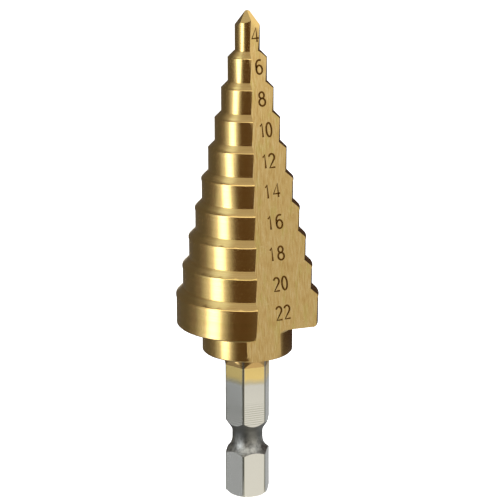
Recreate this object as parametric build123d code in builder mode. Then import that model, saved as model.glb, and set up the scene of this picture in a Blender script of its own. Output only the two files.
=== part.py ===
from build123d import *

import math
import os

# Step drill, 4 to 22 mm in ten steps, on a quarter inch hexagon shank. One piece of
# hardened steel, made here in the order of its manufacture: the shank is turned and
# milled, the stepped head is turned and its lands are relieved, the two straight flutes
# are ground, and the point gets its four facets and is split.
#
# Frame: the origin is the centre of the shank's end face and +Z runs up the axis to the
# point. One flat of the shank and the engraved wall of one flute face -Y. Millimetres.

# ---------------------------------------------------------------- driving dimensions

# Steps
first_diameter = 4.0
last_diameter = 22.0
diameter_step = 2.0
land_length = 3.5  # straight part of a step
last_land_length = 4.9
shoulder_half_angle = 45.0  # of every cutting shoulder, from the axis
rim_chamfer = 0.1  # edge break where a shoulder meets its land
back_edge_radius = 0.45  # rounding under the largest step

# Relief of the lands
relief_depth = 0.07
first_relief_depth = 0.15
margin_length = 0.4  # land left at full diameter under each rim
margin_from_diameter = 14.0  # the smaller lands are relieved over their whole length

# Point: a roof of two lip facets, and a steeper roof of two clearance facets across it
point_length = 2.4
lip_facet_angle = 47.0  # from the axis
lip_facet_turn = 44.2  # of the way the lip facets fall, round from +X
clearance_facet_angle = 34.1
clearance_facet_turn = -3.8
clearance_crest = 0.37  # of the steeper roof, above the point
split_half_width = 0.12  # from the axis to the floor of each notch, at the point
split_angle = 23.1  # of that floor, from the axis

# Flutes: each is a square corner between the engraved wall and the cutting wall
web_half_at_point = 0.90  # from the axis to the engraved wall
web_half_at_collar = 6.72
rake_offset_at_point = 0.05  # from the axis to the cutting wall
rake_offset_at_collar = 2.71
flute_root_radius = 0.35

# Collar
collar_diameter = 14.0
collar_length = 4.4
collar_root_radius = 0.5  # between the collar and the underside of the largest step
collar_chamfer = 0.2

# Shank
shank_length = 23.8
across_flats = 6.35
bar_diameter = 7.20  # turned size of the shank, which rounds the hexagon's corners
end_chamfer = 0.7
flat_runout = 2.2  # from the collar to where the flats begin to rise
flat_rise_angle = 23.0  # of the ramps at the top of the flats, from the axis

# Detent groove in the shank
groove_from_end = 7.1
groove_width = 5.4
groove_neck_diameter = 4.8
groove_neck_from_rim = 2.2  # height of the lower flank
groove_flank_angle = 34.0  # of the upper flank, from the axis
groove_blend_radius = 1.5  # between the neck and the upper flank

# -------------------------------------------------------------------- derived sizes

overlap = 0.5  # how far the shank's bar runs up into the collar
cutter_margin = 1.0  # how far a cutter runs past the material

first_radius = first_diameter / 2
last_radius = last_diameter / 2
radius_step = diameter_step / 2
step_count = round((last_diameter - first_diameter) / diameter_step) + 1
shoulder_height = radius_step / math.tan(math.radians(shoulder_half_angle))

collar_radius = collar_diameter / 2
collar_top = shank_length + collar_length

bar_radius = bar_diameter / 2
neck_radius = groove_neck_diameter / 2
groove_top = groove_from_end + groove_width
neck_bottom = groove_from_end + groove_neck_from_rim
neck_top = groove_top - (bar_radius - neck_radius) / math.tan(math.radians(groove_flank_angle))
flat_length = shank_length - flat_runout

# (radius, bottom, top) of each land, from the largest step up to the smallest
lands = []
land_bottom = collar_top
for index in range(step_count):
    length = land_length
    if index == 0:
        length = last_land_length
    lands.append((last_radius - index * radius_step, land_bottom, land_bottom + length))
    land_bottom += length + shoulder_height

point_base = lands[-1][2]
overall_length = point_base + point_length

flute_run = overall_length - shank_length
web_slope = (web_half_at_collar - web_half_at_point) / flute_run
rake_slope = (rake_offset_at_collar - rake_offset_at_point) / flute_run
split_slope = math.tan(math.radians(split_angle))

# ---------------------------------------------------------------------------- shank

with BuildPart() as shank:
    with BuildSketch():
        RegularPolygon(across_flats / 2, 6, major_radius=False)
    extrude(amount=flat_length)

    with BuildSketch(Plane.XY.offset(flat_length)):
        RegularPolygon(across_flats / 2, 6, major_radius=False)
    extrude(amount=flat_runout + overlap, taper=-flat_rise_angle)

    # the turned bar, with its end chamfer and the detent groove
    with BuildSketch(Plane.XZ) as bar_profile:
        with BuildLine():
            Polyline(
                (bar_radius, groove_from_end),
                (bar_radius, end_chamfer),
                (bar_radius - end_chamfer, 0),
                (0, 0),
                (0, shank_length + overlap),
                (bar_radius, shank_length + overlap),
                (bar_radius, groove_top),
            )
            Polyline((bar_radius, groove_top), (neck_radius, neck_top), (neck_radius, neck_bottom))
            TangentArc((neck_radius, neck_bottom), (bar_radius, groove_from_end), tangent=(0, -1))
        make_face()
        fillet(bar_profile.vertices().sort_by_distance((neck_radius, neck_top))[0], groove_blend_radius)
    revolve(axis=Axis.Z, mode=Mode.INTERSECT)

# -------------------------------------------------------------------------- cutters

# Relief of the lands: what lies outside a circle of the step's own size that is moved
# sideways, once to each side, so a land falls back from its cutting edge to its heel.
with BuildPart() as relief_cutter:
    for radius, bottom, top in lands:
        depth = relief_depth
        if radius >= margin_from_diameter / 2:
            top -= margin_length
        if radius == first_radius:
            depth = first_relief_depth
            top = overall_length
        for side in (-1, 1):
            with BuildSketch(Plane.XY.offset(bottom)):
                Circle(radius + cutter_margin)
                with Locations((side * depth, 0)):
                    Circle(radius, mode=Mode.SUBTRACT)
            extrude(amount=top - bottom)

# One flute, which is the same square corner all the way, carried obliquely to the point
flute_path = Vector(rake_slope, web_slope, 1) * (flute_run + 2 * cutter_margin)

with BuildPart() as flute_cutter:
    with BuildSketch(Plane.XY.offset(shank_length - cutter_margin)) as flute_profile:
        with Locations((-rake_offset_at_collar - rake_slope * cutter_margin,
                        -web_half_at_collar - web_slope * cutter_margin)):
            Rectangle(last_diameter, last_diameter, align=(Align.MIN, Align.MAX))
        fillet(flute_profile.vertices().sort_by_distance((0, 0))[0], flute_root_radius)
    extrude(amount=flute_path.length, dir=flute_path)

# What is ground off one side of the point: above a lip facet and a clearance facet
with BuildPart() as facet_cutter:
    for turn, angle, crest in (
        (lip_facet_turn, lip_facet_angle, overall_length),
        (clearance_facet_turn, clearance_facet_angle, overall_length + clearance_crest),
    ):
        with BuildSketch(Plane.XZ.rotated((0, 0, turn))):
            Polygon(
                (0, crest),
                (first_diameter, crest - first_diameter / math.tan(math.radians(angle))),
                (first_diameter, overall_length + cutter_margin),
                (0, overall_length + cutter_margin),
                align=None,
            )
        extrude(amount=first_diameter, both=True)

# One notch of the split point
split_depth = (web_half_at_point - split_half_width) / (split_slope - web_slope) + cutter_margin
split_path = Vector(-rake_slope, -split_slope, -1) * (split_depth + cutter_margin)

with BuildPart() as split_cutter:
    with BuildSketch(Plane.XY.offset(overall_length + cutter_margin)):
        with Locations((-rake_offset_at_point + rake_slope * cutter_margin,
                        -split_half_width + split_slope * cutter_margin)):
            Rectangle(first_diameter, first_diameter, align=(Align.MIN, Align.MAX))
    extrude(amount=split_path.length, dir=split_path)

# ------------------------------------------------------------------------ the drill

with BuildPart() as step_drill:
    # turned head: collar and steps in one profile
    with BuildSketch(Plane.XZ) as head_profile:
        with BuildLine():
            Polyline(
                (0, shank_length),
                (collar_radius, shank_length),
                (collar_radius, collar_top),
                *[corner for radius, bottom, top in lands for corner in ((radius, bottom), (radius, top))],
                (first_radius, overall_length),
                (0, overall_length),
                close=True,
            )
        make_face()
        for radius, bottom, top in lands[:-1]:
            chamfer(head_profile.vertices().sort_by_distance((radius, top))[0], rim_chamfer)
        fillet(head_profile.vertices().sort_by_distance((last_radius, collar_top))[0], back_edge_radius)
        fillet(head_profile.vertices().sort_by_distance((collar_radius, collar_top))[0], collar_root_radius)
        chamfer(head_profile.vertices().sort_by_distance((collar_radius, shank_length))[0], collar_chamfer)
    revolve(axis=Axis.Z)

    add(relief_cutter.part, mode=Mode.SUBTRACT)
    with PolarLocations(0, 2):
        add(flute_cutter.part, mode=Mode.SUBTRACT)
        add(facet_cutter.part, mode=Mode.SUBTRACT)
        add(split_cutter.part, mode=Mode.SUBTRACT)
    add(shank.part)

# --------------------------------------------------------------------------- export

os.makedirs("parts", exist_ok=True)
step_drill.part.label = "step_drill"
export_step(step_drill.part, "parts/step_drill.step")
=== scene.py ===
"""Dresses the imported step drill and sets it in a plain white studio.

The drill is one ground piece: a stepped head with two straight flutes, coated gold, on
a hexagon shank of bare steel. Every length in the dataclasses is in millimetres, in the
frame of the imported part, and becomes metres only where a mesh or a lamp is made.
"""

import logging
import math
from dataclasses import dataclass, field
from enum import Enum
from typing import Any, Optional, Union

import bmesh
import bpy
from mathutils import Matrix, Vector

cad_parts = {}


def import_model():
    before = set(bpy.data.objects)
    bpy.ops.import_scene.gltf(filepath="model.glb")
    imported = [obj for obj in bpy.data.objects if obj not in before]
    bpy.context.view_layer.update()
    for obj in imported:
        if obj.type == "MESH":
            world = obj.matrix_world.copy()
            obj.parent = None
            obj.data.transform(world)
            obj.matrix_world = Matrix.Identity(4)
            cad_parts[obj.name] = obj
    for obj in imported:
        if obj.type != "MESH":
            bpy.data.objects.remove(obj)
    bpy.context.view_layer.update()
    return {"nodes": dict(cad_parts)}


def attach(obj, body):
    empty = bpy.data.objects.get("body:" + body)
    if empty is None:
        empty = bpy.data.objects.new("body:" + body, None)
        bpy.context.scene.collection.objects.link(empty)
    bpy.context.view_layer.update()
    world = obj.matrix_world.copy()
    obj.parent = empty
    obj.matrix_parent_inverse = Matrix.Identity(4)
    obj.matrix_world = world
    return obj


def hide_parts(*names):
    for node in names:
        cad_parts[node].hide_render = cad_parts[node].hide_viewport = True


LOG = logging.getLogger("step_drill")
MM = 0.001  # one millimetre in the scene's metres
DEGREES = 180.0 / math.pi  # in one radian
BODY = "root"
NODE = "step_drill"

NOISE_MEAN = 0.5

Colour = tuple[float, float, float]
Span = tuple[float, float]  # the values where a ramp starts and ends
Point = tuple[float, float]


# ------------------------------------------------------------------- shader writing


class Sock:
    """A shader socket that can be used in arithmetic: each operator adds a Math node."""

    def __init__(self, sheet: "ShaderSheet", socket: bpy.types.NodeSocket) -> None:
        """Wraps one output socket.

        Args:
            sheet: The sheet that the socket's node stands on.
            socket: The output socket.
        """
        self.sheet = sheet
        self.socket = socket

    def __add__(self, other: "Value") -> "Sock":
        """Adds."""
        return self.sheet.math("ADD", self, other)

    __radd__ = __add__

    def __sub__(self, other: "Value") -> "Sock":
        """Subtracts."""
        return self.sheet.math("SUBTRACT", self, other)

    def __rsub__(self, other: "Value") -> "Sock":
        """Subtracts from a number."""
        return self.sheet.math("SUBTRACT", other, self)

    def __mul__(self, other: "Value") -> "Sock":
        """Multiplies."""
        return self.sheet.math("MULTIPLY", self, other)

    __rmul__ = __mul__

    def __truediv__(self, other: "Value") -> "Sock":
        """Divides."""
        return self.sheet.math("DIVIDE", self, other)

    def __rtruediv__(self, other: "Value") -> "Sock":
        """Divides a number."""
        return self.sheet.math("DIVIDE", other, self)

    def __abs__(self) -> "Sock":
        """Drops the sign."""
        return self.sheet.math("ABSOLUTE", self)

    def clamp(self) -> "Sock":
        """Keeps the value between 0 and 1."""
        return self.sheet.out(self.sheet.node("ShaderNodeClamp", None, {0: self}))

    def centred(self) -> "Sock":
        """Shifts a noise so that it swings about 0."""
        return self - NOISE_MEAN

    def rise(self, low: float, high: float) -> "Sock":
        """Ramps smoothly from 0 at low to 1 at high.

        Args:
            low: The value where the ramp starts.
            high: The value where it ends; below low for a falling ramp.

        Returns:
            The ramp's value.
        """
        share = ((self - low) / (high - low)).clamp()
        return share * share * (3.0 - 2.0 * share)


Value = Union[Sock, float]
Tone = Union[Sock, Colour]


class ShaderSheet:
    """The node tree of one material or world, with short ways to add nodes to it."""

    def __init__(self, tree: bpy.types.NodeTree) -> None:
        """Empties the tree.

        Args:
            tree: The node tree to write.
        """
        self.tree = tree
        tree.nodes.clear()

    def node(self, kind: str, settings: Optional[dict[str, Any]] = None,
             inputs: Optional[dict[Any, Any]] = None) -> bpy.types.Node:
        """Makes one node.

        Args:
            kind: The node's type, such as "ShaderNodeTexNoise".
            settings: Attributes of the node, set first.
            inputs: Values or sockets by input name or number.

        Returns:
            The new node.
        """
        made = self.tree.nodes.new(kind)
        for name, value in (settings or {}).items():
            setattr(made, name, value)
        for name, value in (inputs or {}).items():
            if isinstance(value, Sock):
                value = value.socket
            if isinstance(value, bpy.types.NodeSocket):
                self.tree.links.new(value, made.inputs[name])
            else:
                made.inputs[name].default_value = value
        return made

    def out(self, node: bpy.types.Node, name: Any = 0) -> Sock:
        """Wraps one output of a node."""
        return Sock(self, node.outputs[name])

    def show(self, shader: bpy.types.Node, kind: str = "ShaderNodeOutputMaterial") -> None:
        """Adds the output node that shows a shader."""
        self.node(kind, None, {0: shader.outputs[0]})

    def math(self, operation: str, *values: Value) -> Sock:
        """Adds a Math node.

        Args:
            operation: The Math node's operation.
            values: Its values or sockets, in order.

        Returns:
            The result.
        """
        inputs = dict(enumerate(values))
        return self.out(self.node("ShaderNodeMath", {"operation": operation}, inputs))

    def mix(self, share: Value, first: Tone, second: Tone) -> Sock:
        """Mixes two colours.

        Args:
            share: How much of the second colour.
            first: A colour or a socket.
            second: A colour or a socket.

        Returns:
            The mixed colour.
        """
        inputs: dict[Any, Any] = {0: share}
        for number, tone in ((6, first), (7, second)):  # where a Mix node has its colours
            inputs[number] = tone if isinstance(tone, Sock) else (*tone, 1.0)
        return self.out(self.node("ShaderNodeMix", {"data_type": "RGBA"}, inputs), 2)

    def place(self) -> tuple[Sock, Sock, Sock]:
        """Splits the Object coordinates, in millimetres.

        Returns:
            The place along X, Y and Z.
        """
        coordinates = self.node("ShaderNodeTexCoord")
        scaled = self.node("ShaderNodeVectorMath", {"operation": "SCALE"},
                           {0: coordinates.outputs["Object"], "Scale": 1.0 / MM})
        split = self.node("ShaderNodeSeparateXYZ", None, {0: scaled.outputs[0]})
        return self.out(split, 0), self.out(split, 1), self.out(split, 2)

    def noise(self, x: Value, y: Value, z: Value, detail: float, roughness: float) -> Sock:
        """Adds a noise texture.

        Args:
            x: The first coordinate, in sizes of a blotch.
            y: The second one.
            z: The third one.
            detail: How many octaves.
            roughness: How strong the finer octaves are.

        Returns:
            The noise, from 0 to 1.
        """
        where = self.out(self.node("ShaderNodeCombineXYZ", None, {0: x, 1: y, 2: z}))
        made = self.node("ShaderNodeTexNoise", {"noise_dimensions": "3D"},
                         {"Vector": where, "Scale": 1.0, "Detail": detail, "Roughness": roughness})
        return self.out(made)

    def bump(self, height: Sock, distance: float) -> Sock:
        """Adds a Bump node.

        Args:
            height: The height, from 0 to 1.
            distance: The height of 1, in millimetres.

        Returns:
            The normal.
        """
        inputs = {"Height": height, "Distance": distance * MM, "Strength": 1.0}
        return self.out(self.node("ShaderNodeBump", None, inputs))

    def seen(self) -> Sock:
        """Picks the rays that see the background itself and not only its light.

        Returns:
            1 for camera, glossy and transmission rays, else 0.
        """
        path = self.node("ShaderNodeLightPath")
        return (self.out(path, "Is Camera Ray") + self.out(path, "Is Glossy Ray")
                + self.out(path, "Is Transmission Ray")).clamp()


def new_material(name: str) -> tuple[bpy.types.Material, ShaderSheet]:
    """Makes an empty material.

    Args:
        name: The material's name.

    Returns:
        The material and its sheet.
    """
    material = bpy.data.materials.new(name)
    material.use_nodes = True
    return material, ShaderSheet(material.node_tree)


# -------------------------------------------------------------------------- finishes


@dataclass(frozen=True)
class DrillSizes:
    """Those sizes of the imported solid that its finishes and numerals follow."""

    overall_length: float = 76.0
    shank_length: float = 23.8
    flat_distance: float = 3.175  # of the hexagon's flats, from the axis
    corner_radius: float = 3.6  # of the hexagon's rounded corners
    groove_bottom: float = 7.1  # of the detent groove
    groove_top: float = 12.5
    web_half_at_point: float = 0.90  # from the axis to the engraved wall
    web_half_at_collar: float = 6.72
    rake_offset_at_point: float = 0.05  # from the axis to the cutting wall
    rake_offset_at_collar: float = 2.71

    def web_slope(self) -> float:
        """Says how fast the engraved wall leaves the axis, down the drill."""
        spread = self.web_half_at_collar - self.web_half_at_point
        return spread / (self.overall_length - self.shank_length)

    def rake_slope(self) -> float:
        """Says how fast the cutting wall leaves the axis, down the drill."""
        spread = self.rake_offset_at_collar - self.rake_offset_at_point
        return spread / (self.overall_length - self.shank_length)


SIZES = DrillSizes()


@dataclass(frozen=True)
class Blotches:
    """A noise that lies through the steel, by how many of its blotches fit a millimetre."""

    across: float  # along X and along Y
    along: float  # along the axis
    detail: float = 2.0
    roughness: float = 0.5

    def on(self, sheet: ShaderSheet) -> Sock:
        """Adds the noise to a sheet.

        Args:
            sheet: The sheet.

        Returns:
            The noise, from 0 to 1.
        """
        x, y, z = sheet.place()
        return sheet.noise(x * self.across, y * self.across, z * self.along,
                           self.detail, self.roughness)


@dataclass(frozen=True)
class Finish:
    """What one tool, coating or use leaves on the drill's metal."""

    name: str

    def inputs(self, sheet: ShaderSheet) -> dict[str, Any]:
        """Works out the shader's inputs.

        Args:
            sheet: The material's sheet.

        Returns:
            Values or sockets by the names of the shader's inputs.
        """
        raise NotImplementedError(self.name)

    def build(self) -> bpy.types.Material:
        """Makes the material.

        Returns:
            The material.
        """
        material, sheet = new_material(self.name)
        inputs = {"Metallic": 1.0, **self.inputs(sheet)}
        sheet.show(sheet.node("ShaderNodeBsdfPrincipled", None, inputs))
        return material


class Grain(Enum):
    """Which way the grinding marks of a face run."""

    AROUND = "around"  # round the axis, as on turned and cylindrically ground faces
    LENGTHWISE = "lengthwise"  # along the drill, as on the walls of the flutes


@dataclass(frozen=True)
class GoldCoating(Finish):
    """Titanium nitride on ground steel."""

    grain: Grain
    colour: Colour = (0.72, 0.485, 0.175)
    pale: Colour = (0.82, 0.60, 0.27)
    deep: Colour = (0.60, 0.37, 0.11)
    olive: Colour = (0.66, 0.50, 0.15)
    contrast: float = 0.3  # how much of the pale and deep marks shows
    deep_marks: Span = (0.5, 0.3)
    pale_marks: Span = (0.5, 0.7)
    roughness: float = 0.2
    roughness_spread: float = 0.06
    groove_height: float = 0.0004
    groove_pitch: float = 0.14
    groove_run: float = 5.0  # how far a lengthwise mark runs before it fades
    ring_drift: float = 0.05  # how fast a mark round the axis fades, per millimetre
    ring_detail: float = 3.0
    groove_detail: float = 2.0
    mark_roughness: float = 0.6
    band_pitches: float = 7.0  # how many marks wide the olive bands are
    bands: Span = (0.52, 0.68)
    specks: Blotches = Blotches(3.0, 3.0, detail=1.0)
    speck_edge: Span = (0.62, 0.72)
    speck_share: float = 0.5
    patches: Blotches = Blotches(0.35, 0.35, detail=1.0)  # where the specks lie
    patch_edge: Span = (0.45, 0.62)

    def _marks(self, sheet: ShaderSheet, pitch: float) -> Sock:
        """Adds a noise that is drawn out along the grinding marks.

        Args:
            sheet: The material's sheet.
            pitch: The width of a mark, in millimetres.

        Returns:
            The noise, from 0 to 1.
        """
        x, y, z = sheet.place()
        if self.grain is Grain.AROUND:
            radius = sheet.math("SQRT", x * x + y * y)
            return sheet.noise(radius / pitch, x * self.ring_drift, z / pitch,
                               self.ring_detail, self.mark_roughness)
        return sheet.noise(x / pitch, y / pitch, z / self.groove_run,
                           self.groove_detail, self.mark_roughness)

    def inputs(self, sheet: ShaderSheet) -> dict[str, Any]:
        """Lays olive bands, deep and pale marks and pale specks over the gold.

        Args:
            sheet: The material's sheet.

        Returns:
            Values or sockets by the names of the shader's inputs.
        """
        fine = self._marks(sheet, self.groove_pitch)
        broad = self._marks(sheet, self.groove_pitch * self.band_pitches)
        tone = sheet.mix(broad.rise(*self.bands) * self.contrast, self.colour, self.olive)
        tone = sheet.mix(fine.rise(*self.deep_marks) * self.contrast, tone, self.deep)
        tone = sheet.mix(fine.rise(*self.pale_marks) * self.contrast, tone, self.pale)
        specks = self.specks.on(sheet).rise(*self.speck_edge)
        patches = self.patches.on(sheet).rise(*self.patch_edge)
        return {
            "Base Color": sheet.mix(specks * patches * self.speck_share, tone, self.pale),
            "Roughness": self.roughness + fine.centred() * self.roughness_spread,
            "Normal": sheet.bump(fine, self.groove_height),
        }


@dataclass(frozen=True)
class BareShank(Finish):
    """Milled steel, with the edge of the gold coating fading out on it, and painted shade on its
    rounded corners and on the ramps under the collar.
    """

    steel: Colour = (0.76, 0.75, 0.70)
    gold: Colour = (0.99, 0.74, 0.275)
    gold_edge: Span = (19.0, 20.1)
    haze: Colour = (0.68, 0.61, 0.42)  # of the coating's faint edge
    haze_edge: Span = (18.6, 19.3)
    ramp: Colour = (0.64, 0.42, 0.16)  # painted shade: deep gold on the ramps under the collar, standing in for the drill's own shadow and reflection there
    ramp_edge: Span = (21.55, 21.65)
    clouds: Blotches = Blotches(0.5, 0.35)
    edge_drift: float = 0.8  # how far the coating's edge wanders up and down
    # painted dark reflection along the rounded corners, and also the tone of the real milling lines
    corner: Colour = (0.42, 0.42, 0.36)
    corner_edge: Span = (0.23, 0.17)  # painted shade: measured from the middle of the hexagon's rounded corners
    corner_share: float = 0.8
    cutter_marks: Blotches = Blotches(0.1, 3.2, roughness=0.6)
    mark_height: float = 0.0012
    roughness: float = 0.24
    roughness_spread: float = 0.12
    line_pitch: float = 0.36  # of the milling lines above the groove
    line_drift: float = 0.1
    line_edge: Span = (-0.2, 1.0)
    line_share: float = 0.5
    line_foot: Span = (12.0, 12.1)
    line_top: Span = (16.4, 14.6)

    def _coating(self, sheet: ShaderSheet, z: Sock, cloud: Sock) -> Sock:
        """Lets the gold fade out over the steel, and paints shade on the ramps under the collar.

        Args:
            sheet: The material's sheet.
            z: The height.
            cloud: The noise that makes the edge wander.

        Returns:
            The colour.
        """
        height = z + cloud.centred() * self.edge_drift
        tone = sheet.mix(height.rise(*self.haze_edge), self.steel, self.haze)
        tone = sheet.mix(height.rise(*self.gold_edge), tone, self.gold)
        # painted shade: the ramps under the collar turn deep gold
        return sheet.mix(z.rise(*self.ramp_edge), tone, self.ramp)

    def inputs(self, sheet: ShaderSheet) -> dict[str, Any]:
        """Paints shade along the rounded corners and adds the milling lines to the coated steel.

        Args:
            sheet: The material's sheet.

        Returns:
            Values or sockets by the names of the shader's inputs.
        """
        x, y, z = sheet.place()
        cloud = self.clouds.on(sheet)
        tone = self._coating(sheet, z, cloud)
        # the corners stand at every sixth of a turn from +X, where this sine is 0
        sine = sheet.math("SINE", sheet.math("ARCTAN2", y, x) * 3.0)
        from_corner = abs(sine) * (SIZES.corner_radius / 3.0)
        # painted dark reflection: a dark line along the hexagon's rounded corners, standing in for
        # the dark strip the corners mirror
        tone = sheet.mix(from_corner.rise(*self.corner_edge) * self.corner_share, tone, self.corner)
        turns = (z + cloud.centred() * self.line_drift) * (2.0 * math.pi / self.line_pitch)
        lines = sheet.math("SINE", turns).rise(*self.line_edge)
        lines = lines * z.rise(*self.line_top) * z.rise(*self.line_foot)
        marks = self.cutter_marks.on(sheet)
        return {
            # the milling lines are real marks drawn in the same dark tone
            "Base Color": sheet.mix(lines * self.line_share, tone, self.corner),
            "Roughness": self.roughness + marks.centred() * self.roughness_spread,
            "Normal": sheet.bump(marks, self.mark_height),
        }


@dataclass(frozen=True)
class TurnedNeck(Finish):
    """The dark, roughly turned steel of the detent groove, paler in clouds towards its foot."""

    dark: Colour = (0.19, 0.19, 0.175)
    worn: Colour = (0.52, 0.51, 0.46)
    wear_edge: Span = (10.3, 8.9)
    wear_drift: float = 3.0  # how far the edge of the paler foot wanders up and down
    clouds: Blotches = Blotches(1.3, 1.1, detail=5.0, roughness=0.75)
    cloud_edge: Span = (0.3, 0.7)
    roughness: float = 0.42
    roughness_spread: float = 0.25
    tool_marks: Blotches = Blotches(2.6, 1.9, detail=4.0, roughness=0.65)
    mark_height: float = 0.05

    def inputs(self, sheet: ShaderSheet) -> dict[str, Any]:
        """Lays paler clouds over the dark steel, more of them towards the foot.

        Args:
            sheet: The material's sheet.

        Returns:
            Values or sockets by the names of the shader's inputs.
        """
        height = sheet.place()[2]
        cloud = self.clouds.on(sheet)
        pale_foot = (height + cloud.centred() * self.wear_drift).rise(*self.wear_edge)
        return {
            "Base Color": sheet.mix(pale_foot * cloud.rise(*self.cloud_edge), self.dark, self.worn),
            "Roughness": self.roughness + cloud.centred() * self.roughness_spread,
            "Normal": sheet.bump(self.tool_marks.on(sheet), self.mark_height),
        }


@dataclass(frozen=True)
class BurntMark(Finish):
    """The brown of a laser-marked numeral."""

    colour: Colour = (0.15, 0.062, 0.008)
    faint: Colour = (0.24, 0.11, 0.02)
    patches: Blotches = Blotches(3.0, 3.0)
    faint_edge: Span = (0.5, 0.75)
    roughness: float = 0.5
    roughness_spread: float = 0.2

    def inputs(self, sheet: ShaderSheet) -> dict[str, Any]:
        """Lets the brown turn fainter in patches.

        Args:
            sheet: The material's sheet.

        Returns:
            Values or sockets by the names of the shader's inputs.
        """
        patch = self.patches.on(sheet)
        return {
            "Base Color": sheet.mix(patch.rise(*self.faint_edge), self.colour, self.faint),
            "Roughness": self.roughness + patch.centred() * self.roughness_spread,
        }


# ----------------------------------------------------------------------------- drill


def finished_mesh(piece: bpy.types.Object) -> bpy.types.Mesh:
    """Takes the mesh of a piece with its modifiers applied.

    Args:
        piece: The object whose modifiers are live.

    Returns:
        A new mesh.
    """
    graph = bpy.context.evaluated_depsgraph_get()
    return bpy.data.meshes.new_from_object(piece.evaluated_get(graph), depsgraph=graph)


def link(piece: bpy.types.Object) -> bpy.types.Object:
    """Puts an object in the scene and returns it."""
    bpy.context.scene.collection.objects.link(piece)
    return piece


class Surface(Enum):
    """The kinds of face on the drill; each one's value is the number of its material."""

    TURNED_HEAD = 0
    FLUTE_WALL = 1
    SHANK = 2
    NECK = 3


@dataclass
class GroundBody:
    """The drill's steel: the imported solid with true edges, and a finish for each face."""

    node: bpy.types.Object
    crease_angle: float = 22.75  # degrees; faces that meet at more keep a sharp edge
    flat_tilt: float = 0.8  # degrees that a face of a flat may be off
    flat_slack: float = 0.05  # that it may lie nearer to the axis
    wall_tilt: float = 1.8  # degrees that a face of a flute's wall may be off
    collar_slack: float = 0.01
    join_distance: float = 1e-4  # at which corners are one
    speck_distance: float = 1e-5  # below which an edge is none
    finishes: dict[Surface, Finish] = field(default_factory=lambda: {
        Surface.TURNED_HEAD: GoldCoating("gold_turned", Grain.AROUND),
        Surface.FLUTE_WALL: GoldCoating("gold_flute", Grain.LENGTHWISE, contrast=0.75,
                                        groove_pitch=0.2),
        Surface.SHANK: BareShank("bare_shank_steel"),
        Surface.NECK: TurnedNeck("dark_neck_steel"),
    })

    def build(self) -> bpy.types.Object:
        """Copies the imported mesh, merges it and dresses it.

        Returns:
            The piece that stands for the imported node.
        """
        mesh = self.node.data.copy()
        self._merge(mesh)
        mesh.materials.clear()
        for surface in Surface:
            mesh.materials.append(self.finishes[surface].build())
        for polygon in mesh.polygons:
            polygon.material_index = self._surface(polygon).value
        piece = link(bpy.data.objects.new("ground_body", mesh))
        self._true_edges(piece)
        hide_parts(NODE)
        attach(piece, BODY)
        return piece

    def _merge(self, mesh: bpy.types.Mesh) -> None:
        """Joins the loose triangles at their shared corners.

        Args:
            mesh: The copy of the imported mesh.
        """
        work = bmesh.new()
        work.from_mesh(mesh)
        bmesh.ops.remove_doubles(work, verts=work.verts, dist=self.join_distance * MM)
        bmesh.ops.dissolve_degenerate(work, edges=work.edges, dist=self.speck_distance * MM)
        work.to_mesh(mesh)
        work.free()

    def _surface(self, polygon: bpy.types.MeshPolygon) -> Surface:
        """Says which kind of face a polygon belongs to.

        Args:
            polygon: A face of the drill's mesh.

        Returns:
            Its kind.
        """
        height = polygon.center.z / MM
        if SIZES.groove_bottom < height < SIZES.groove_top and not self._is_flat(polygon):
            return Surface.NECK
        if height < SIZES.shank_length - self.collar_slack:
            return Surface.SHANK
        nearly = math.cos(math.radians(self.wall_tilt))
        for side in (-1, 1):
            engraved = Vector((0, side, SIZES.web_slope())).normalized()
            cutting = Vector((-side, 0, -SIZES.rake_slope())).normalized()
            if max(polygon.normal.dot(engraved), polygon.normal.dot(cutting)) > nearly:
                return Surface.FLUTE_WALL
        return Surface.TURNED_HEAD

    def _is_flat(self, polygon: bpy.types.MeshPolygon) -> bool:
        """Says whether a face lies in one of the hexagon's flats.

        Args:
            polygon: A face of the drill's mesh.

        Returns:
            True when it faces as a flat does and stands as far from the axis.
        """
        nearly = math.cos(math.radians(self.flat_tilt))
        for number in range(6):
            turn = math.radians(60 * number - 90)
            outward = Vector((math.cos(turn), math.sin(turn), 0))
            far_out = polygon.center.dot(outward) / MM > SIZES.flat_distance - self.flat_slack
            if far_out and polygon.normal.dot(outward) > nearly:
                return True
        return False

    def _true_edges(self, piece: bpy.types.Object) -> None:
        """Shades the round faces smooth and keeps the ground edges sharp.

        Args:
            piece: The merged drill.
        """
        mesh = piece.data
        if "custom_normal" in mesh.attributes:
            mesh.attributes.remove(mesh.attributes["custom_normal"])
        mesh.shade_smooth()
        mesh.set_sharp_from_angle(angle=math.radians(self.crease_angle))
        weighted = piece.modifiers.new("weighted", "WEIGHTED_NORMAL")
        weighted.mode = "FACE_AREA"
        weighted.keep_sharp = True
        weighted.weight = 100  # gives the large faces the most say
        result = finished_mesh(piece)
        piece.modifiers.remove(weighted)
        piece.data = result
        result.name = "ground_body"


# -------------------------------------------------------------------------- numerals


def arc(centre: Point, across: float, tall: float, start: float, end: float,
        count: int) -> list[Point]:
    """Samples an arc of an ellipse.

    Args:
        centre: The ellipse's centre.
        across: Half its width.
        tall: Half its height.
        start: The angle of the first point, in degrees.
        end: The angle of the last one.
        count: How many steps lie between them.

    Returns:
        The points.
    """
    angles = [math.radians(start + (end - start) * step / count) for step in range(count + 1)]
    return [(centre[0] + across * math.cos(a), centre[1] + tall * math.sin(a)) for a in angles]


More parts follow.
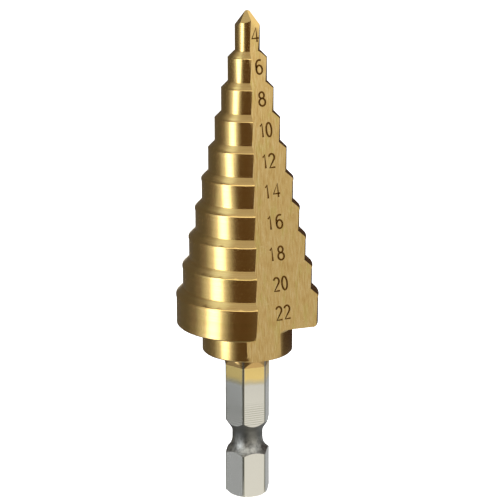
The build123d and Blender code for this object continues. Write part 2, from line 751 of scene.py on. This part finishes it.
# each digit's strokes, in a box one unit wide and one high
GLYPHS: dict[str, list[list[Point]]] = {
    "0": [arc((0.5, 0.5), 0.5, 0.5, 90, 450, 28)],
    "1": [[(0.0, 0.8), (0.62, 0.98), (0.62, 0.0)]],
    "2": [arc((0.5, 0.74), 0.48, 0.26, 165, -38, 14) + [(0.02, 0.0), (1.0, 0.0)]],
    "4": [[(0.72, 0.0), (0.72, 1.0), (0.0, 0.27), (1.0, 0.27)]],
    "6": [arc((0.62, 0.62), 0.6, 0.38, 62, 180, 10) + arc((0.5, 0.31), 0.48, 0.31, 180, 540, 26)],
    "8": [arc((0.5, 0.77), 0.38, 0.23, -90, 270, 22), arc((0.5, 0.27), 0.48, 0.27, 90, 450, 26)],
}
GLYPH_WIDTHS = {"0": 0.82, "1": 0.5, "2": 0.9, "4": 1.05, "6": 0.95, "8": 1.0}

Sweep = tuple[bpy.types.NodeTree, dict[str, str]]  # a tree, and its inputs' identifiers


@dataclass(frozen=True)
class Mark:
    """One numeral's size and the place of its centre on the engraved wall."""

    size: int
    across: float  # from the axis
    height: float
    gap: float = 0.42  # between its digits


@dataclass
class SizeNumerals:
    """The step sizes, marked down the engraved wall of the front flute."""

    marks: tuple[Mark, ...] = (
        Mark(4, 0.74, 72.44),
        Mark(6, 1.19, 67.79),
        Mark(8, 1.47, 63.11),
        Mark(10, 1.93, 58.53),
        Mark(12, 2.23, 53.92),
        Mark(14, 2.66, 49.43, 0.7),
        Mark(16, 2.90, 44.74, 0.76),
        Mark(18, 3.0, 39.98, 0.7),
        Mark(20, 3.36, 35.36),
        Mark(22, 3.64, 30.92),
    )
    digit_height: float = 2.05
    stroke: float = 0.28
    thickness: float = 0.016
    lean: float = 4.0  # degrees, over to the left
    closing_distance: float = 0.001  # at which a stroke's ends are one

    def wall_place(self) -> Matrix:
        """Finds the placement that puts a drawing in the XY plane on the engraved wall.

        Returns:
            The placement, in metres; the drawing's Y is the height up the wall itself.
        """
        uphill = Vector((0, SIZES.web_slope(), 1)).normalized()
        outward = Vector((0, -1, SIZES.web_slope())).normalized()
        foot = Vector((0, -SIZES.web_half_at_collar, SIZES.shank_length)) * MM
        turn = Matrix((Vector((1, 0, 0)), uphill, outward)).transposed()
        return Matrix.Translation(foot) @ turn.to_4x4()

    def _draw(self, mark: Mark) -> list[list[Vector]]:
        """Draws one numeral in the XY plane.

        Args:
            mark: The numeral.

        Returns:
            Its strokes, each a list of points in metres.
        """
        text = str(mark.size)
        lean = math.radians(self.lean)
        middle = (mark.height - SIZES.shank_length) * math.hypot(1.0, SIZES.web_slope())
        left = -(sum(GLYPH_WIDTHS[digit] for digit in text) + mark.gap * (len(text) - 1)) / 2
        drawn = []
        for digit in text:
            for stroke in GLYPHS[digit]:
                points = []
                for across, up in stroke:
                    a = left + across * GLYPH_WIDTHS[digit]
                    b = (up - 0.5) * self.digit_height
                    x = mark.across + a * math.cos(lean) - b * math.sin(lean)
                    y = middle + a * math.sin(lean) + b * math.cos(lean)
                    points.append(Vector((x, y, 0.0)) * MM)
                drawn.append(points)
            left += GLYPH_WIDTHS[digit] + mark.gap
        return drawn

    def _strokes(self) -> bpy.types.Object:
        """Makes a curve object of all the strokes.

        Returns:
            The object, in the XY plane.
        """
        curve = bpy.data.curves.new("numeral_strokes", "CURVE")
        curve.dimensions = "3D"
        curve.twist_mode = "Z_UP"  # keeps the marks flat on the drawing
        for stroke in [stroke for mark in self.marks for stroke in self._draw(mark)]:
            closed = (stroke[0] - stroke[-1]).length < self.closing_distance * MM
            points = stroke[:-1] if closed else stroke
            spline = curve.splines.new("POLY")
            spline.points.add(len(points) - 1)
            for target, point in zip(spline.points, points):
                target.co = (*point, 1.0)
            spline.use_cyclic_u = closed
        return link(bpy.data.objects.new("numeral_strokes", curve))

    def _sweep_tree(self, material: bpy.types.Material) -> Sweep:
        """Writes the Geometry Nodes tree that sweeps the marking tool along the strokes.

        Args:
            material: The material of the marks.

        Returns:
            The tree, and the identifiers of its inputs by name.
        """
        tree = bpy.data.node_groups.new("sweep_marks", "GeometryNodeTree")
        face = tree.interface
        face.new_socket("Strokes", in_out="INPUT", socket_type="NodeSocketGeometry")
        identifiers = {}
        for name in ("Stroke width", "Mark thickness"):
            made = face.new_socket(name, in_out="INPUT", socket_type="NodeSocketFloat")
            identifiers[name] = made.identifier
        face.new_socket("Marks", in_out="OUTPUT", socket_type="NodeSocketGeometry")
        add = tree.nodes.new
        start, end = add("NodeGroupInput"), add("NodeGroupOutput")
        profile = add("GeometryNodeCurvePrimitiveQuadrilateral")
        sweep = add("GeometryNodeCurveToMesh")
        sweep.inputs["Fill Caps"].default_value = True
        real, paint = add("GeometryNodeRealizeInstances"), add("GeometryNodeSetMaterial")
        paint.inputs["Material"].default_value = material
        join = tree.links.new
        join(start.outputs["Stroke width"], profile.inputs["Width"])
        join(start.outputs["Mark thickness"], profile.inputs["Height"])
        join(start.outputs["Strokes"], sweep.inputs["Curve"])
        join(profile.outputs["Curve"], sweep.inputs["Profile Curve"])
        join(sweep.outputs["Mesh"], real.inputs["Geometry"])
        join(real.outputs["Geometry"], paint.inputs["Geometry"])
        join(paint.outputs["Geometry"], end.inputs["Marks"])
        return tree, identifiers

    def build(self) -> bpy.types.Object:
        """Makes the numerals.

        Returns:
            One piece with all the numerals.
        """
        holder = self._strokes()
        tree, identifiers = self._sweep_tree(BurntMark("burnt_numeral").build())
        modifier = holder.modifiers.new("sweep", "NODES")
        modifier.node_group = tree
        modifier[identifiers["Stroke width"]] = self.stroke * MM
        modifier[identifiers["Mark thickness"]] = self.thickness * MM
        mesh = finished_mesh(holder)
        holder.modifiers.remove(modifier)
        bpy.data.objects.remove(holder)
        mesh.transform(self.wall_place())
        mesh.name = "size_numerals"
        piece = link(bpy.data.objects.new("size_numerals", mesh))
        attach(piece, BODY)
        return piece


# ---------------------------------------------------------------------------- studio


@dataclass(frozen=True)
class Lamp:
    """A soft box."""

    name: str
    azimuth: float  # degrees to the right of the camera, seen from the drill
    height: float
    distance: float
    width: float
    tall: float
    power: float


@dataclass(frozen=True)
class Card:
    """A soft-edged panel on the tent's cloth, which the polished faces mirror.

    Angles are in degrees: azimuths to the right of the camera, elevations seen from the
    middle of the drill.
    """

    name: str
    glow: Colour
    azimuth: float = 0.0
    half_width: float = 180.0  # which is all the way round
    side_fade: float = 0.0
    low: float = -90.0
    high: float = 90.0
    end_fade: float = 12.0

    def mask(self, sheet: ShaderSheet, ahead: Sock, aside: Sock, elevation: Sock) -> Sock:
        """Works out how much of the panel covers a spot of the cloth.

        Args:
            sheet: The cloth's sheet.
            ahead: The spot's place towards the camera.
            aside: The spot's place to the right.
            elevation: The spot's elevation.

        Returns:
            The cover, from 0 to 1.
        """
        end, side = self.end_fade / 2, self.side_fade / 2
        cover = elevation.rise(self.low - end, self.low + end)
        cover = cover * elevation.rise(self.high + end, self.high - end)
        if self.half_width < 180.0:
            turn = math.radians(self.azimuth)
            along = ahead * math.cos(turn) + aside * math.sin(turn)
            across = aside * math.cos(turn) - ahead * math.sin(turn)
            off = abs(sheet.math("ARCTAN2", across, along)) * DEGREES
            cover = cover * off.rise(self.half_width + side, self.half_width - side)
        return cover


WINDOW_FILL: Colour = (0.86, 0.93, 0.98)
WINDOW_STRIP: Colour = (4.0, 4.2, 4.6)
COOL_TABLE: Colour = (0.40, 0.41, 0.42)
WARM_TABLE: Colour = (0.88, 0.85, 0.77)


@dataclass
class Studio:
    """A white table in a light tent, with the camera and the lamps."""

    camera_azimuth: float = -20.0  # degrees to the right of -Y
    camera_distance: float = 216.5
    camera_height: float = 95.4
    camera_offset: float = 0.41  # to the right of the axis
    camera_pitch: float = 14.45  # degrees down
    camera_reach: tuple[float, float] = (10.0, 20000.0)
    focal_px: float = 1461.0
    frame_px: float = 500.0
    sensor: float = 36.0
    aim_height: float = 40.0  # what the lamps point at
    room_light: Colour = (0.55, 0.55, 0.55)
    white: Colour = (1.0, 1.0, 1.0)
    paper: Colour = (0.8, 0.8, 0.8)
    paper_glow: float = 0.72
    table_reach: float = 4000.0  # to each side of the drill
    tent_sides: int = 96
    tent_profile: tuple[tuple[float, float], ...] = (  # radius and height
        (3.02, 0.06), (60.0, 0.06), (600.0, 0.06), (600.0, 420.0), (480.0, 640.0),
        (260.0, 760.0), (2.0, 800.0),
    )
    cloth: Colour = (0.115, 0.07, 0.036)
    cards: tuple[Card, ...] = (
        # name, glow, azimuth, half width, side fade, low, high, end fade
        Card("left_rear", (0.135, 0.125, 0.11), -130.0, 45.0, 20.0),
        Card("right_rear", (0.065, 0.042, 0.034), 133.0, 42.0, 16.0),
        Card("backdrop", (0.9, 0.9, 0.88), -173.0, 8.0, 12.0, -33.0, -3.0, 5.0),
        Card("right_panel", (0.66, 0.66, 0.67), 55.5, 36.5, 17.0, -33.0, 60.0),
        Card("right_panel_top", (0.98, 0.98, 0.98), 55.5, 36.5, 17.0, 5.2, 60.0, 8.0),
        Card("left_edge", (0.23, 0.21, 0.20), -88.0, 12.0, 16.0, -33.0, 30.0, 6.0),
        Card("left_fill", WINDOW_FILL, -56.5, 23.5, 20.0, -28.0, 30.0, 6.0),
        Card("left_fill_foot", WINDOW_FILL, -62.0, 22.0, 14.0, -33.0, -28.0, 6.0),
        Card("left_strip", WINDOW_STRIP, -53.5, 9.5, 9.0, -28.0, 30.0, 6.0),
        Card("left_strip_foot", WINDOW_STRIP, -59.0, 8.5, 8.0, -33.0, -28.0, 6.0),
        Card("overhead", (0.58, 0.57, 0.58), low=46.0, end_fade=30.0),
        Card("front_top", (1.9, 1.9, 1.85), -5.0, 45.0, 30.0, 24.0, 50.0, 14.0),
        Card("left_top", (1.15, 1.35, 1.5), -80.0, 22.0, 20.0, 51.0, 69.0, 10.0),
        Card("front_table", (0.115, 0.115, 0.10), -5.0, 50.0, 12.0, -90.0, -34.0, 6.0),
        Card("left_table", COOL_TABLE, -75.0, 38.0, 12.0, -90.0, -50.0, 10.0),
        Card("left_table_edge", (0.25, 0.26, 0.26), -78.0, 38.0, 12.0, -50.0, -34.0, 6.0),
        Card("right_table", WARM_TABLE, 40.0, 30.0, 12.0, -90.0, -34.0, 6.0),
        Card("rear_table", (0.46, 0.47, 0.48), 132.0, 56.0, 12.0, -90.0, -34.0, 6.0),
        Card("left_foot", COOL_TABLE, -66.0, 50.0, 10.0, -90.0, -77.0, 6.0),
        Card("right_foot", WARM_TABLE, 28.0, 42.0, 10.0, -90.0, -77.0, 6.0),
    )
    middle_height: float = 45.0  # where elevations are seen from
    lamps: tuple[Lamp, ...] = (
        # name, azimuth, height, distance, width, tall, power
        Lamp("key_box", -46.0, 260.0, 420.0, 90.0, 420.0, 1.6),
        Lamp("fill_box", 48.0, 300.0, 460.0, 260.0, 360.0, 1.4),
        Lamp("top_box", 10.0, 620.0, 60.0, 420.0, 420.0, 2.0),
    )

    def direction(self, azimuth: float) -> Vector:
        """Turns an azimuth to the right of the camera into a level unit vector."""
        angle = math.radians(-90.0 + self.camera_azimuth + azimuth)
        return Vector((math.cos(angle), math.sin(angle), 0.0))

    def build(self) -> None:
        """Makes everything that isn't the drill."""
        self._world()
        self._floor()
        self._tent()
        for lamp in self.lamps:
            self._lamp(lamp)
        self._camera()
        bpy.context.scene.view_settings.view_transform = "Standard"

    def _world(self) -> None:
        """Makes the world white to the eye and to reflections, and plain grey as light."""
        world = bpy.data.worlds.new("white_room")
        bpy.context.scene.world = world
        world.use_nodes = True
        sheet = ShaderSheet(world.node_tree)
        tone = sheet.mix(sheet.seen(), self.room_light, self.white)
        ground = sheet.node("ShaderNodeBackground", None, {"Color": tone, "Strength": 1.0})
        sheet.show(ground, "ShaderNodeOutputWorld")

    def _floor(self) -> None:
        """Makes the white table, which keeps a soft shadow under the drill."""
        reach = self.table_reach * MM
        corners = [(-reach, -reach, 0), (reach, -reach, 0), (reach, reach, 0), (-reach, reach, 0)]
        mesh = bpy.data.meshes.new("table_top")
        mesh.from_pydata(corners, [], [(0, 1, 2, 3)])
        material, sheet = new_material("white_table")
        paper = sheet.node("ShaderNodeBsdfDiffuse", None, {"Color": (*self.paper, 1.0)})
        glow = sheet.node("ShaderNodeEmission", None,
                          {"Color": (*self.white, 1.0), "Strength": self.paper_glow})
        lit = sheet.node("ShaderNodeAddShader", None, {0: paper.outputs[0], 1: glow.outputs[0]})
        sheet.show(sheet.node("ShaderNodeMixShader", None,
                                 {0: sheet.seen(), 1: paper.outputs[0], 2: lit.outputs[0]}))
        mesh.materials.append(material)
        link(bpy.data.objects.new("table_top", mesh))

    def _tent(self) -> None:
        """Closes the cloth tent that the polished faces mirror, table and roof and all."""
        count, rings = self.tent_sides, len(self.tent_profile)
        corners, faces = [], []
        for index in range(count):
            angle = 2 * math.pi * index / count
            for radius, height in self.tent_profile:
                across, aside = radius * math.cos(angle), radius * math.sin(angle)
                corners.append((across * MM, aside * MM, height * MM))
            here, after = index * rings, (index + 1) % count * rings
            for ring in range(rings - 1):
                faces.append((here + ring, after + ring, after + ring + 1, here + ring + 1))
        mesh = bpy.data.meshes.new("tent_cloth")
        mesh.from_pydata(corners, [], faces)
        mesh.materials.append(self._tent_cloth())
        tent = link(bpy.data.objects.new("tent_cloth", mesh))
        tent.visible_camera = False
        tent.visible_diffuse = False
        tent.visible_shadow = False
        tent.visible_transmission = False

    def _tent_cloth(self) -> bpy.types.Material:
        """Makes the cloth's material: dark, with the cards laid over it in order.

        Returns:
            The material.
        """
        material, sheet = new_material("tent_cloth")
        material.cycles.emission_sampling = "NONE"
        x, y, z = sheet.place()
        forward, right = self.direction(0.0), self.direction(90.0)
        ahead = x * forward.x + y * forward.y
        aside = x * right.x + y * right.y
        reach = sheet.math("SQRT", x * x + y * y)
        elevation = sheet.math("ARCTAN2", z - self.middle_height, reach) * DEGREES
        tone: Tone = self.cloth
        for card in self.cards:
            tone = sheet.mix(card.mask(sheet, ahead, aside, elevation), tone, card.glow)
        sheet.show(sheet.node("ShaderNodeEmission", None, {"Color": tone, "Strength": 1.0}))
        return material

    def _lamp(self, lamp: Lamp) -> None:
        """Hangs one soft box, aimed at the middle of the drill.

        Args:
            lamp: Its sizes and power.
        """
        data = bpy.data.lights.new(lamp.name, "AREA")
        data.shape = "RECTANGLE"
        data.size, data.size_y = lamp.width * MM, lamp.tall * MM
        data.energy = lamp.power
        holder = link(bpy.data.objects.new(lamp.name, data))
        holder.visible_glossy = False
        spot = self.direction(lamp.azimuth) * lamp.distance * MM
        spot.z = lamp.height * MM
        holder.location = spot
        aim = Vector((0, 0, self.aim_height * MM)) - spot
        holder.rotation_euler = aim.to_track_quat("-Z", "Y").to_euler()

    def _camera(self) -> None:
        """Sets up the camera, which looks past the drill's axis a little to its right."""
        data = bpy.data.cameras.new("camera")
        data.sensor_fit = "HORIZONTAL"
        data.sensor_width = self.sensor
        data.lens = self.focal_px * self.sensor / self.frame_px
        data.clip_start, data.clip_end = self.camera_reach[0] * MM, self.camera_reach[1] * MM
        camera = link(bpy.data.objects.new("camera", data))
        ahead, aside = self.direction(0.0), self.direction(90.0)
        spot = (ahead * self.camera_distance + aside * self.camera_offset) * MM
        spot.z = self.camera_height * MM
        camera.location = spot
        pitch = math.radians(self.camera_pitch)
        look = -ahead * math.cos(pitch) - Vector((0, 0, math.sin(pitch)))
        camera.rotation_euler = look.to_track_quat("-Z", "Y").to_euler()
        bpy.context.scene.camera = camera


def main() -> None:
    """Builds the drill's pieces in order, then the studio."""
    logging.basicConfig(level=logging.INFO, format="%(name)s: %(message)s")
    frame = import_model()
    body = GroundBody(frame["nodes"][NODE]).build()
    LOG.info("%s: %d faces", body.name, len(body.data.polygons))
    numerals = SizeNumerals().build()
    LOG.info("%s: %d faces", numerals.name, len(numerals.data.polygons))
    Studio().build()


if __name__ == "__main__":
    main()
